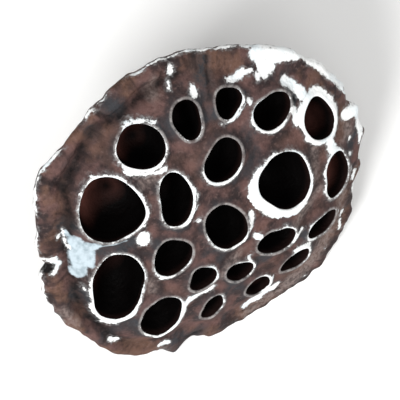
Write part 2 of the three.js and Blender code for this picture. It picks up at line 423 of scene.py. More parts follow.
# From the ring where the face's edge begins, over the edge and down: share of the edge's radius, and height
RING_SHARE = 0.955
SIDE_PATH = (
    (RING_SHARE, FACE_RISE * (1 - RING_SHARE**2)),
    (0.976, 0.66),
    (0.993, 0.05),
    (1.0, -0.9),
    (0.985, -EDGE_THICKNESS),
    (0.915, -4.4),
    (0.845, -7),
    (0.755, -11),
    (0.65, -16),
    (0.55, -21),
    (0.445, -26),
    (0.34, -30.5),
    (0.24, -34.5),
    (0.165, -38),
    ((STALK_RADIUS + 0.4) / EDGE_RADIUS, -CUP_DEPTH - 1),
    ((STALK_RADIUS - 0.4) / EDGE_RADIUS, -STALK_END + 5),
    (STALK_RADIUS / EDGE_RADIUS, -STALK_END + 0.9),
    ((STALK_RADIUS - 0.5) / EDGE_RADIUS, -STALK_END),
)
EDGE_STOPS = 7  # the first so many of them lie over the edge, where the rows are close together
PATH_SAMPLES = 40  # fine steps between two of them, from which the even rows are taken

# How the points lie on the skin
LIP_RINGS = (0.22, 0.5, 0.85, 1.3, 1.85, 2.5)  # rings of points round each mouth, by distance from it
RING_ROOM = 0.7  # a ring's point is left out if a mouth is nearer than this share of its distance
FIELD_SHARE = RING_SHARE - 0.012  # the field of points ends at this share of the edge's radius
FIELD_REACH = 1.1 * EDGE_RADIUS
FIELD_GAP = 0.6  # between the outermost ring and the field, as a share of the spacing
SHORTEST_EDGE = 1e-7  # points nearer to each other than this would fall together
WALL_ROWS = 13
END_ROWS = 18

# The hollow of a cell
WALL_END = 0.985  # how far down the last row lies, before the rows are crowded towards the mouth
WALL_CROWDING = 1.25
WALL_ROUNDING = 2.4
WALL_POWER = 0.42
WALL_MEETS = 0.35  # share of its depth over which it follows the uneven mouth

# Between which distances from a mouth, or shares of the edge's radius, relief of the face sets in or ends
SAG_FROM_MOUTH = (1.5, 5)
SAG_TO_EDGE = (0.7, 0.86)
WRINKLED_MARGIN = (0.76, 0.92)
WRINKLES_FROM_MOUTH = (0.5, 2.5)
RIPPLES_FROM_MOUTH = (0.3, 2.5)
PRESSED_FROM_MOUTH = (0, 1.2)
PRESSED_TO_EDGE = (1, 0.97)
LIP_START = 0.72  # share of the lip's height that it has inside the mouth
LIP_INSIDE = -0.2
SAG_DEPTH = 0.45
ROLL_AT = 3 * FURROW_WIDTH
ROLL_WIDTH = 2 * FURROW_WIDTH
SPOKE_RING = 16  # how fast wrinkles change round the face
SPOKE_REACH = 6  # and how fast along the spokes
SPOKE_STRETCH = 0.5  # how fast streaks of colour change along them

# The same for the outside, by depth below the edge, height, or share of the edge's radius
EDGE_PART = 4  # one row in so many lies over the edge
OUTLINE_FADE = (6, CUP_DEPTH)
FOLDS_BEGIN = (1, 14)
FOLDS_END = (CUP_DEPTH - 10, STALK_END - 3)
FOLDS_NARROW = 2.2  # folds get lower where this many times the share of the radius is under one
RAGS_BEGIN = (1.2, -0.6)
RAGS_END = (1.5, 6)
FRAYED_TURN = (0.1, 0.9)  # the cosines, from the frayed side, between which the fraying grows
FACE_SHARE = (0.99, RING_SHARE + 0.006)
FACE_LEVEL = (-0.4, 0.3)
CUP_BEGINS = (1, 4)
STALK_BEGINS = (CUP_DEPTH - 2, CUP_DEPTH + 3)
END_DEPTH = STALK_END - 0.1  # deeper points lie on the stalk's cut end
RIDGE_RING = 14.0  # how fast fine ridges change round the cup
RIDGE_DRIFT = 0.05  # and how fast with depth
RIDGE_SHARES = (0.6, 0.4, 0.35)  # what folds, pleats and fine ridges add to the height on a ridge

# Paint and colour on the face and in the cells
BARE = -4.0  # depth in paint of a bare place, far from any paint
PAINT_LIMIT = 4.0
THICK_TURN = (2.1, 0.5)  # the angles from its thick side between which a line gets thick
LINE_RAGS = 0.6
LINE_RAG_LIMITS = (0.08, 0.35)
COLOURED_MARGIN = (0.78, 0.92)
DUST_FADE = (-2.2, 1.4)
CREASE_FADE = (-0.6, 0.3)
# How strongly the creases and the nick are painted dark with shade
CREASE_SHADE = 0.9
NICK_SHADE = 2
WASH_FADE = (-2, 2)
WALL_BARE = 0.2
# Where painted light lies on a cell's wall: by share of its depth, and by how far the wall turns to its side
PAINTED_LIGHT_DEPTH = (0.2, 0.7)
PAINTED_LIGHT_TURN = (-0.2, 0.8)

# Paint on the outside
FAR_FROM_MOUTH = 10.0
CUP_BARE = 6.0  # the face's paint is thinned by this much on the cup
EDGE_LINE_RAGS = 0.6
EDGE_LINE_POINT = 0.4  # how bluntly a stretch along the edge ends
FLECK_BARE = -1.8
FLECK_RISE = 1.6
FLECK_RIDGES = (0.5, 1.05)
SPLASH_NARROWS = 0.75
SPLASH_RAGS = 1.2
SPLASH_END_RAGS = 2
BAND_DEPTH = 8
BAND_WAVE = 2.2
BAND_HALF = 0.1
CUP_PAINT_FADE = (0.6, 1.6)
CUP_PAINT_NONE = 2
END_PAINT_BARE = -1.5
END_PAINT_RISE = 2.2
END_PAINT_BEGINS = (STALK_END - 2.5, STALK_END - 0.2)
END_HOLE_BARE = 4
STALK_PAINT_BEGINS = (CUP_DEPTH + 2, CUP_DEPTH + 4)


class Ripple(NamedTuple):
    """Unevenness: its height, the size over which it changes, both in millimetres, and its seed."""

    height: float
    size: float
    seed: int


RIPPLE_WAVES = 14  # sines in one ripple
RIPPLE_SPREAD = (0.6, 1.5)  # how their sizes differ
RIPPLE_SUM = 5.2  # the sines' sum is divided by this, which brings it to about one
LIP_RIPPLE = Ripple(0.3, 7, 3)
WRINKLES = (Ripple(0.5, 4.2, 5), Ripple(0.25, 1.9, 6))
WEB_RIPPLES = (Ripple(0.22, 8, 7), Ripple(0.1, 3, 8))
CUP_RIDGES = (Ripple(0.55, 3.2, 11), Ripple(0.3, 1.5, 12))
EDGE_RAGS = (Ripple(0.3, 2.6, 13), Ripple(0.3, 1.2, 15))
STALK_RIPPLE = Ripple(0.25, 6, 14)
LINE_RIPPLE = Ripple(1, 5, 21)
STROKE_RIPPLES = (Ripple(0.4, 6, 22), Ripple(0.4, 6, 23))
SPLASH_RIPPLE = Ripple(1, 5, 24)
BAND_RIPPLE = Ripple(1.2, 7, 25)
BAND_WIDTH_RIPPLE = Ripple(0.3, 9, 26)


def smooth_step(low, high, value):
    """Rises from nought at low to one at high, level at both ends."""
    share = np.clip((value - low) / (high - low), 0, 1)
    return share * share * (3 - 2 * share)


def soft_min(first, second, rounding):
    """The smaller of two lengths, with the corner between them rounded off."""
    return np.minimum(first, second) - np.maximum(rounding - abs(first - second), 0) ** 2 / (4 * rounding)


def bell(value, width):
    """One at nought, falling off on both sides over a width."""
    return np.exp(-((value / width) ** 2))


def bump_round(angle, at, width):
    """One at a place round the axis, falling off on both sides: a bell that closes on itself, in degrees."""
    return np.exp((np.cos(angle - math.radians(at)) - 1) / math.radians(width) ** 2)


def angle_between(first, second):
    """How far apart two angles are, the shorter way round."""
    return abs((first - second + math.pi) % (2 * math.pi) - math.pi)


def round_angles(steps):
    """Angles of even steps round the axis."""
    return np.arange(steps) * 2 * math.pi / steps


def ripples(points, *kinds):
    """Uneven heights over points: for each kind, sines in random directions with random phases are added."""
    height = 0
    for kind in kinds:
        rng = np.random.default_rng(kind.seed)
        directions = rng.normal(size=(RIPPLE_WAVES, points.shape[-1]))
        directions /= np.linalg.norm(directions, axis=1, keepdims=True)
        directions *= rng.uniform(*RIPPLE_SPREAD, (RIPPLE_WAVES, 1)) * 2 * math.pi / kind.size
        phases = rng.uniform(0, 2 * math.pi, RIPPLE_WAVES)
        waves = np.sin(points @ directions.T + phases).sum(-1)
        height = height + kind.height * (waves / RIPPLE_SUM)
    return height


def uneven_wave(angle, count, drifts):
    """One on each of a number of ridges round the axis and nought between two.

    Their places drift by slow sines, each with a size, a number of turns and a phase.
    """
    place = count * angle / 2
    for size, turns, phase in drifts:
        place = place + size * np.sin(turns * angle + phase)
    return abs(np.sin(place))


def fold_wave(angle):
    """One on each broad ridge of the cup and nought in each crease."""
    return uneven_wave(angle, FOLDS, FOLD_DRIFTS)


def pleat_wave(angle):
    """One on each narrow pleat of the cup and nought between two."""
    return uneven_wave(angle, PLEATS, PLEAT_DRIFTS)


def edge_radius(angle):
    """The edge's radius: a lobed round, cut straight along the side that the pod lies on."""
    lobes = np.cos(2 * angle) + LOBE_RIGHT * np.cos(angle) - LOBE_DOWN * np.sin(angle)
    outline = EDGE_RADIUS + lobes + EDGE_SCALLOP * (fold_wave(angle) - SCALLOP_LEVEL)
    for at, width, height in EDGE_BUMPS:
        outline = outline + height * bump_round(angle, at, width)
    towards_rest = np.maximum(np.cos(angle + math.pi / 2), REST_LEAST)
    return soft_min(outline, REST_REACH / towards_rest, REST_ROUNDING)


def edge_lift(angle):
    """How far the edge rises or dips: three waves round it, level where the pod lies on it."""
    return EDGE_WAVE * np.sin(3 * angle - EDGE_WAVE_PHASE) * smooth_step(*EDGE_WAVE_FADE, np.sin(angle))


def face_height(share, angle):
    """The face without lips or wrinkles: a dome with a groove near its edge, deepest on the left."""
    deep = GROOVE_LEAST + (1 - GROOVE_LEAST) * np.cos((angle - GROOVE_SIDE) / 2) ** 2
    groove = bell(share - GROOVE_AT, GROOVE_WIDTH) * deep
    return FACE_RISE * (1 - share**2) - GROOVE_DEPTH * groove + edge_lift(angle) * share**4


def to_polar(points):
    """Share of the edge's radius, and angle, of points on the face."""
    angle = np.arctan2(points[:, 1], points[:, 0])
    return np.hypot(points[:, 0], points[:, 1]) / edge_radius(angle), angle


def cell_frame(cell):
    """The middle of a cell's mouth on the face, and the axes of the cell as columns, the last pointing out.

    The axes are those of the face, spun to the cell's slope and tilted to point away from the focus.
    """
    share, angle = to_polar(np.array([[cell.x, cell.y]]))
    mouth = np.array([cell.x, cell.y, face_height(share, angle)[0]])
    out = mouth - np.array([0, 0, -CELL_FOCUS])
    out /= np.linalg.norm(out)
    cross = np.array([[0, 0, out[0]], [0, 0, out[1]], [-out[0], -out[1], 0]])
    tilt = np.eye(3) + cross + cross @ cross / (1 + out[2])
    cosine, sine = math.cos(math.radians(cell.slope)), math.sin(math.radians(cell.slope))
    spin = np.array([[cosine, -sine, 0], [sine, cosine, 0], [0, 0, 1]])
    return mouth, tilt @ spin


def cell_radius(cell, angle):
    """A cell's radius at an angle from its longer half-width: a squarish ellipse with three blunt corners.

    A weak wave of five makes it a little uneven.
    """
    across = (abs(np.cos(angle)) / cell.long) ** CELL_SQUARENESS
    along = (abs(np.sin(angle)) / cell.short) ** CELL_SQUARENESS
    corners = cell.corner * np.cos(3 * (angle - math.radians(cell.corner_at)))
    uneven = 1 + corners + CELL_UNEVEN * np.sin(5 * angle + cell.y)
    return uneven * (across + along) ** (-1 / CELL_SQUARENESS)


def mouth_ring(cell, steps, out):
    """Points round a cell's mouth, a distance out from it, as seen square on to the face."""
    mouth, axes = cell_frame(cell)
    angle = round_angles(steps)
    radius = cell_radius(cell, angle) + out
    return mouth[:2] + np.stack([radius * np.cos(angle), radius * np.sin(angle)], 1) @ axes[:2, :2].T


def mouth_distance(cell, points):
    """How far points on the face lie outside a cell's mouth.

    It is the way along the radius, shortened where the outline runs slanting across it.
    """
    mouth, axes = cell_frame(cell)
    local = (points - mouth[:2]) @ np.linalg.inv(axes[:2, :2]).T
    angle = np.arctan2(local[:, 1], local[:, 0])
    radius = cell_radius(cell, angle)
    step = 0.01
    slant = (cell_radius(cell, angle + step) - cell_radius(cell, angle - step)) / (2 * step * radius)
    return (np.hypot(local[:, 0], local[:, 1]) - radius) / np.sqrt(1 + slant**2)


def nearest_mouth(points):
    """Distance of each point on the face from the nearest mouth, and which that is."""
    distances = np.stack([mouth_distance(cell, points) for cell in CELLS])
    return distances.min(0), distances.argmin(0)


def furrow_at(share, angle):
    """How far a point on the face lies outside the furrow, as a share of the edge's radius, and its strength.

    The furrow waves round the face by its listed places, and fades out at both ends.
    """
    degrees = np.degrees(angle) % 360
    angles, shares = np.array(FURROW).T
    begin = smooth_step(angles[0], angles[1], degrees)
    end = smooth_step(angles[-1], angles[-2], degrees)
    return share - np.interp(degrees, angles, shares), begin * end


def face_skin(points, distance, recipe):
    """Height of the dressed face: the dome, a lip round each mouth, a sagging web, a furrow and wrinkles.

    The lip rises from the mouth to its crest and falls to its foot. The web between the lips sags a little.
    The furrow follows the outer cells on one side, and the margin outside it is rolled up.
    Creases are pressed in. The wrinkles run outwards near the edge and every way elsewhere.
    """
    share, angle = to_polar(points)
    rise = LIP_START + (1 - LIP_START) * smooth_step(LIP_INSIDE, LIP_CREST, distance)
    lip = recipe.lip_height * rise * (1 - smooth_step(LIP_CREST, LIP_FOOT, distance))
    lip *= 1 + ripples(points, LIP_RIPPLE)
    sag = SAG_DEPTH * smooth_step(*SAG_FROM_MOUTH, distance) * (1 - smooth_step(*SAG_TO_EDGE, share))
    margin = smooth_step(*WRINKLED_MARGIN, share) * smooth_step(*WRINKLES_FROM_MOUTH, distance)
    spokes = np.stack([SPOKE_RING * np.cos(angle), SPOKE_RING * np.sin(angle), SPOKE_REACH * share], 1)
    uneven = smooth_step(*RIPPLES_FROM_MOUTH, distance) * ripples(points, *WEB_RIPPLES)
    outside, strength = furrow_at(share, angle)
    furrow = recipe.furrow_depth * bell(outside, FURROW_WIDTH)
    roll = ROLL_HEIGHT * bell(outside - ROLL_AT, ROLL_WIDTH)
    pressed = strength * (furrow - roll) + CREASE_DEPTH * crease_on_face(points)
    pressed *= smooth_step(*PRESSED_FROM_MOUTH, distance) * smooth_step(*PRESSED_TO_EDGE, share)
    wrinkles = margin * ripples(spokes, *WRINKLES)
    return face_height(share, angle) + lip - sag + wrinkles + uneven - pressed


def face_points(recipe):
    """Points on the face as seen square on: closed outlines, and loose points on what is left.

    The outlines are the ring where the edge begins and then each mouth. The loose points are a few rings
    round each mouth and an even field in shifted rows.
    """
    angles = round_angles(recipe.columns)
    radius = RING_SHARE * edge_radius(angles)
    outlines = [np.stack([radius * np.cos(angles), radius * np.sin(angles)], 1)]
    loose = []
    for number, cell in enumerate(CELLS):
        steps = round(math.pi * (cell.long + cell.short) / recipe.spacing)
        outlines.append(mouth_ring(cell, steps, 0))
        for out in LIP_RINGS:
            ring = mouth_ring(cell, steps, out)
            gap, nearest = nearest_mouth(ring)
            kept = (nearest == number) & (gap > RING_ROOM * out) & (to_polar(ring)[0] < FIELD_SHARE)
            loose.append(ring[kept])
    reach = int(FIELD_REACH / recipe.spacing)
    row, column = np.mgrid[-reach : reach + 1, -reach : reach + 1].reshape(2, -1)
    field = recipe.spacing * np.stack([column + 0.5 * (row % 2), row * math.sqrt(0.75)], 1)
    field = field[to_polar(field)[0] < FIELD_SHARE]
    loose.append(field[nearest_mouth(field)[0] > LIP_RINGS[-1] + FIELD_GAP * recipe.spacing])
    return outlines, loose


def face_layout(recipe):
    """Spreads points over the face and joins them into triangles, leaving the mouths open.

    A grid of two parameters can't leave out so many mouths of different shapes, so the points are joined by
    a triangulation that keeps the outlines. A triangle with all its corners on one outline fills a mouth or
    lies beyond the ring, so it is left out.
    Returns the points, the triangles, and the point numbers of each outline, the outer ring first.
    """
    outlines, loose = face_points(recipe)
    starts = np.cumsum([0] + [len(outline) for outline in outlines])
    loops = [np.arange(start, stop) for start, stop in zip(starts[:-1], starts[1:])]
    edges = np.concatenate([np.stack([loop, np.roll(loop, -1)], 1) for loop in loops])
    points = np.concatenate(outlines + loose)
    vectors = [Vector(point) for point in points.tolist()]
    made = delaunay_2d_cdt(vectors, edges.tolist(), [], 0, SHORTEST_EDGE)
    if len(made[0]) != len(points):
        raise RuntimeError("two points of the face fell together")
    triangles = np.array(made[2])
    outline_of = np.full(len(points), -1)
    for number, loop in enumerate(loops):
        outline_of[loop] = number
    corner = outline_of[triangles]
    outside = (corner[:, 0] >= 0) & (corner[:, 0] == corner[:, 1]) & (corner[:, 0] == corner[:, 2])
    return points, triangles[~outside], loops


def lengths_along(path):
    """Length along a path of shares and heights up to each of its points, in millimetres."""
    steps = np.linalg.norm(np.diff(path * [EDGE_RADIUS, 1], axis=0), axis=1)
    return np.concatenate([[0], np.cumsum(steps)])


def smooth_path(stops, rows):
    """A rounded curve through stops, at even distances: each stretch is a cubic that keeps the slopes."""
    stops = np.array(stops)
    before = np.concatenate([stops[:1], stops[:-1]])
    after = np.concatenate([stops[1:], stops[-1:]])
    slopes = (after - before) / 2
    share = np.linspace(0, 1, PATH_SAMPLES, endpoint=False)[:, None]
    square, cube = share**2, share**3
    stretches = []
    for here, there, leaving, arriving in zip(stops[:-1], stops[1:], slopes[:-1], slopes[1:]):
        begin = (2 * cube - 3 * square + 1) * here + (cube - 2 * square + share) * leaving
        stretches.append(begin + (-2 * cube + 3 * square) * there + (cube - square) * arriving)
    fine = np.concatenate(stretches + [stops[-1:]])
    along = lengths_along(fine)
    even = np.linspace(0, along[-1], rows)
    return np.stack([np.interp(even, along, fine[:, 0]), np.interp(even, along, fine[:, 1])], 1)


def ragged_edge(angle, height, depth, lines):
    """How far the edge's rags, tags and nicks stand out. The rags are largest on its frayed side."""
    at_edge = smooth_step(*RAGS_BEGIN, height) * (1 - smooth_step(*RAGS_END, depth))
    frayed = 1 + FRAYED_MORE * smooth_step(*FRAYED_TURN, np.cos(angle - math.radians(FRAYED_SIDE)))
    rags = frayed * ripples(lines, *EDGE_RAGS)
    for at, width, tag in EDGE_TAGS:
        rags = rags + tag * bump_round(angle, at, width)
    return at_edge * rags


class Side(NamedTuple):
    """The pod's outside by row and column.

    Beside its points it holds their depth below the edge, how far past the edge's crest they lie along the
    profile, and how high they stand on their fold.
    """

    points: np.ndarray
    depth: np.ndarray
    past_crest: np.ndarray
    ridge: np.ndarray


def side_skin(recipe):
    """The pod's outside from the ring on the face, over the edge, down the cup to the stalk's cut end.

    A rounded profile is carried round the axis. Its radius follows the edge's outline, fading towards the
    stalk, with broad folds, narrow pleats and fine ridges added on the cup. The rows on the face take its
    height. The stalk's end is closed by rows that run in to its middle, with air channels pressed into them.
    """
    edge_rows = recipe.rows // EDGE_PART
    over_edge = smooth_path(SIDE_PATH[:EDGE_STOPS], edge_rows)
    path = np.concatenate([over_edge, smooth_path(SIDE_PATH[EDGE_STOPS - 1 :], recipe.rows - edge_rows)[1:]])
    share, height, along = path[:, :1], path[:, 1:], lengths_along(path)
    angle = round_angles(recipe.columns)[None, :]
    depth = -np.minimum(height, 0) + 0 * angle
    upper = 1 - smooth_step(*OUTLINE_FADE, depth)
    middle = smooth_step(*FOLDS_BEGIN, depth) * (1 - smooth_step(*FOLDS_END, depth))
    outline = EDGE_RADIUS + upper * (edge_radius(angle) - EDGE_RADIUS)
    fold, pleat = fold_wave(angle), pleat_wave(angle)
    folds = FOLD_HEIGHT * (fold - FOLD_LEVEL) + PLEAT_HEIGHT * (pleat - FOLD_LEVEL)
    ring = RIDGE_RING + 0 * depth
    lines = np.stack([ring * np.cos(angle), ring * np.sin(angle), RIDGE_DRIFT * depth], -1)
    fine = ripples(lines, *CUP_RIDGES)
    radius = share * outline + middle * np.minimum(1, FOLDS_NARROW * share) * (folds + fine)
    radius += ragged_edge(angle, height, depth, lines)
    radius += smooth_step(*STALK_BEGINS, depth) * ripples(lines, STALK_RIPPLE)
    points = np.stack([radius * np.cos(angle), radius * np.sin(angle), height + upper * edge_lift(angle)], -1)

    on_face = smooth_step(*FACE_SHARE, share) * smooth_step(*FACE_LEVEL, height)
    flat = points[:, :, :2].reshape(-1, 2)
    face = face_skin(flat, nearest_mouth(flat)[0], recipe).reshape(depth.shape)
    points[:, :, 2] += on_face * (face - points[:, :, 2])

    inward = np.linspace(1, 0, END_ROWS + 1)[1:-1, None]
    end = np.stack([inward * points[-1, :, 0], inward * points[-1, :, 1], points[-1, :, 2] + 0 * inward], -1)
    end[:, :, 2] += channel_depth(end[:, :, 0], end[:, :, 1])
    ridge = sum(part * wave for part, wave in zip(RIDGE_SHARES, (fold, pleat, fine)))
    past_crest = np.concatenate([along - along[share.argmax()], np.full(END_ROWS - 1, along[-1])])
    depth = np.concatenate([depth, np.full(end.shape[:2], STALK_END)])
    return Side(
        np.concatenate([points, end]),
        depth,
        past_crest[:, None] + 0 * depth,
        np.concatenate([ridge, np.zeros(end.shape[:2])]),
    )


def channel_depth(x, y):
    """How far air channels press in the stalk's end: a ring of round pits and one in the middle."""
    turn = 2 * math.pi / CHANNELS
    angle = np.round(np.arctan2(y, x) / turn) * turn
    around = np.hypot(x - CHANNEL_RING * np.cos(angle), y - CHANNEL_RING * np.sin(angle))
    nearest = np.minimum(around, np.hypot(x, y))
    return CHANNEL_DEPTH * (1 - smooth_step(*CHANNEL_WALL, nearest))


def channel_share(points, depth):
    """How deep in an air channel a point of the outside lies, from nought to one."""
    return (depth > END_DEPTH) * channel_depth(points[:, 0], points[:, 1]) / CHANNEL_DEPTH


def cell_walls(cell, top):
    """The hollow of a cell below its mouth: its outline, drawn in with depth to a round bottom.

    The share of the outline left at a depth follows a superellipse. Top holds the mouth's own points.
    Returns the points by row and column, without the mouth, the bottom's middle, and the depth of each row.
    """
    mouth, axes = cell_frame(cell)
    full = CELL_BASE_DEPTH + CELL_DEPTH_SHARE * (cell.long + cell.short)
    share = np.linspace(0, WALL_END, WALL_ROWS)[1:] ** WALL_CROWDING
    left = (1 - share**WALL_ROUNDING) ** WALL_POWER
    angle = round_angles(len(top))
    radius = cell_radius(cell, angle) * left[:, None]
    below = 0 * radius - full * share[:, None]
    local = np.stack([radius * np.cos(angle), radius * np.sin(angle), below], -1)
    walls = mouth + local @ axes.T
    level = mouth + (local[0] * [1, 1, 0]) @ axes.T
    walls[:, :, 2] += smooth_step(WALL_MEETS, 0, share)[:, None] * (top[:, 2] - level[:, 2])
    return walls, mouth - full * axes[:, 2], full * share


def depth_in_strokes(points, strokes):
    """How deep inside brush strokes points on the face lie, in millimetres: below nought is outside."""
    depth = np.full(len(points), BARE)
    for x1, y1, x2, y2, half in strokes:
        start = np.array([x1, y1])
        along = np.array([x2, y2]) - start
        share = np.clip((points - start) @ along / (along @ along), 0, 1)
        away = np.linalg.norm(points - start - share[:, None] * along, axis=1)
        depth = np.maximum(depth, half - away)
    return depth


def paint_on_face(points, distance, nearest):
    """How deep in white paint a point on the face lies, in millimetres: below nought it is bare.

    Each mouth has a line of paint round it that widens towards one side, and strokes lie between the mouths.
    """
    brushed = np.array([(cell.x, cell.y, cell.line, cell.thick_at, cell.thick) for cell in CELLS])
    x, y, line, thick_at, thick = brushed[nearest].T
    turned = angle_between(np.arctan2(points[:, 1] - y, points[:, 0] - x), np.radians(thick_at))
    width = line + (thick - line) * smooth_step(*THICK_TURN, turned)
    ring = width + np.clip(LINE_RAGS * width, *LINE_RAG_LIMITS) * ripples(points, LINE_RIPPLE) - distance
    wavy = points + np.stack([ripples(points, kind) for kind in STROKE_RIPPLES], 1)
    return np.clip(np.maximum(ring, depth_in_strokes(wavy, STROKES)), BARE, PAINT_LIMIT)


def spot_on_face(points, x, y, reach):
    """One over a round spot of the face, falling off steeply at its reach."""
    away = np.hypot(points[:, 0] - x, points[:, 1] - y)
    return np.exp(-((away / reach) ** 4))


def slate_on_face(points):
    """How strongly slate grey places cover a point on the face, from nought to one."""
    cover = np.zeros(len(points))
    for x, y, reach, strength in SLATES:
        cover = np.maximum(cover, strength * spot_on_face(points, x, y, reach))
    return cover


def dust_on_face(points):
    """One in the middle of a dusty place of the face, fading to nought outside it."""
    return smooth_step(*DUST_FADE, depth_in_strokes(points, DUSTS))


def crease_on_face(points):
    """One inside a crease of the face, and nought beside it."""
    return smooth_step(*CREASE_FADE, depth_in_strokes(points, CREASES))


def furrow_shade_on_face(points):
    """How much painted shade the furrow, a crease or the nick puts on a point of the face: one or more is
    darkest.
    """
    outside, strength = furrow_at(*to_polar(points))
    furrow = strength * bell(outside + FURROW_WIDTH / 2, FURROW_WIDTH)
    nick = NICK_SHADE * spot_on_face(points, *NICK)
    return np.maximum(np.maximum(furrow, nick), CREASE_SHADE * crease_on_face(points))


def paint_along_edge(angle, past_crest, uneven):
    """How deep in the white along the edge a point lies: stretches that run to a point at both ends."""
    degrees = np.degrees(angle) % 360
    depth = np.full(len(angle), BARE)
    for start, stop, half in EDGE_PAINT:
        inside = EDGE_RADIUS * np.radians(np.minimum(degrees - start, stop - degrees))
        across = half * (1 + EDGE_LINE_RAGS * uneven) - abs(past_crest)
        depth = np.maximum(depth, np.minimum(EDGE_LINE_POINT * inside, across))
    return depth


def paint_down_cup(points, angle, depth, ridge, uneven):
    """How deep in the white of the cup a point lies.

    It lies in flecks on the ridges, in splashes that narrow as they run down, and in a waving line.
    """
    cup = FLECK_BARE + FLECK_RISE * smooth_step(*FLECK_RIDGES, ridge)
    for at, half, length in SPLASHES:
        across = angle_between(angle, math.radians(at)) * np.hypot(points[:, 0], points[:, 1])
        narrowed = half * (1 - SPLASH_NARROWS * np.clip(depth / length, 0, 1))
        below = length + SPLASH_END_RAGS * uneven - depth
        cup = np.maximum(cup, np.minimum(narrowed - across + SPLASH_RAGS * uneven, below))
    line = BAND_DEPTH + BAND_WAVE * np.sin(9 * angle + np.sin(4 * angle)) + ripples(points, BAND_RIPPLE)
    return np.maximum(cup, BAND_HALF + ripples(points, BAND_WIDTH_RIPPLE) - abs(depth - line))


def paint_on_side(points, depth, past_crest, ridge):
    """How deep in white paint a point on the pod's outside lies, in millimetres: below nought it is bare.

    White lies along the edge and on the cup, and covers the stalk's cut end between its air channels.
    """
    angle = np.arctan2(points[:, 1], points[:, 0])
    uneven = ripples(points, SPLASH_RIPPLE)
    cup = paint_down_cup(points, angle, depth, ridge, uneven)
    cup = (cup + CUP_PAINT_NONE) * smooth_step(*CUP_PAINT_FADE, past_crest) - CUP_PAINT_NONE
    end = END_PAINT_BARE + END_PAINT_RISE * smooth_step(*END_PAINT_BEGINS, depth)
    end -= END_HOLE_BARE * channel_share(points, depth)
    stalk = smooth_step(*STALK_PAINT_BEGINS, depth)
    edge = paint_along_edge(angle, past_crest, uneven)
    return np.clip(np.maximum(edge, cup + stalk * (end - cup)), BARE, PAINT_LIMIT)


def grid_triangles(numbers):
    """Triangles of a grid of point numbers that closes on itself along its rows."""
    above, below = numbers[:-1], numbers[1:]
    next_above, next_below = np.roll(above, -1, 1), np.roll(below, -1, 1)
    halves = (above, below, next_below), (above, next_below, next_above)
    return np.concatenate([np.stack(half, -1).reshape(-1, 3) for half in halves])


def fan_triangles(ring, middle):
    """Triangles from a ring of point numbers to one point."""
    return np.stack([ring, np.full(len(ring), middle), np.roll(ring, -1)], 1)


def lay_down(points):
    """Turns points of the grown pod to how it lies, rests them on the surface, and gives metres."""
    turned = points[:, :1] * FACE_ACROSS + points[:, 1:2] * FACE_UP + points[:, 2:] * FACE_OUT
    lying = LYING_CENTRE + turned
    lying[:, 2] = np.maximum(lying[:, 2], 0)
    return lying * MM


# The numbers that the skin's material reads at each point
SKIN_VALUES = "mouth paint wash slate dust furrow margin glow cup ridge stalk hole".split()


class SkinParts:
    """Gathers points, triangles and values at the points, and makes one mesh of them."""

    def __init__(self):
        self.points = []
        self.triangles = []
        self.values = {name: [] for name in SKIN_VALUES}
        self.count = 0

    def add(self, points, **values):
        """Adds points with their values, and returns their numbers."""
        first = self.count
        self.points.append(points)
        self.count += len(points)
        for name, gathered in self.values.items():
            gathered.append(np.broadcast_to(values.get(name, 0.0), len(points)))
        return np.arange(first, self.count)

    def mesh(self, name):
        """Makes the mesh, with its values and two places for each point as attributes.

        One is the place on the grown pod. The other is drawn out along the spokes, for streaks.
        """
        grown = np.concatenate(self.points)
        triangles = np.concatenate(self.triangles)
        mesh = bpy.data.meshes.new(name)
        mesh.vertices.add(len(grown))
        mesh.vertices.foreach_set("co", lay_down(grown).ravel())
        mesh.loops.add(triangles.size)
        mesh.loops.foreach_set("vertex_index", triangles.ravel().astype(np.int32))
        mesh.polygons.add(len(triangles))
        mesh.polygons.foreach_set("loop_start", np.arange(0, triangles.size, 3, dtype=np.int32))
        mesh.update(calc_edges=True)
        mesh.validate()
        mesh.shade_smooth()
        for label, gathered in self.values.items():
            data = mesh.attributes.new(label, "FLOAT", "POINT").data
            data.foreach_set("value", np.concatenate(gathered).astype(np.float32))
        angle = np.arctan2(grown[:, 1], grown[:, 0])
        out = np.linalg.norm(grown, axis=1) / EDGE_RADIUS
        spokes = np.stack([np.cos(angle), np.sin(angle), SPOKE_STRETCH * out], 1)
        for label, places in (("grown", grown), ("spokes", spokes)):
            data = mesh.attributes.new(label, "FLOAT_VECTOR", "POINT").data
            data.foreach_set("vector", places.astype(np.float32).ravel())
        return mesh


def add_face(parts, recipe, ring):
    """Adds the face, with its outer outline on the given ring, and returns its points and outlines."""
    flat, triangles, loops = face_layout(recipe)
    distance, nearest = nearest_mouth(flat)
    face = np.column_stack([flat, face_skin(flat, distance, recipe)])
    face[loops[0]] = ring
    parts.add(
        face,
        mouth=distance,
        paint=paint_on_face(flat, distance, nearest) + recipe.paint_spread,
        wash=smooth_step(*WASH_FADE, depth_in_strokes(flat, WASHES)),
        slate=slate_on_face(flat),
        dust=dust_on_face(flat),
        furrow=furrow_shade_on_face(flat),
        margin=smooth_step(*COLOURED_MARGIN, to_polar(flat)[0]),
    )
    parts.triangles.append(triangles)
    return face, loops


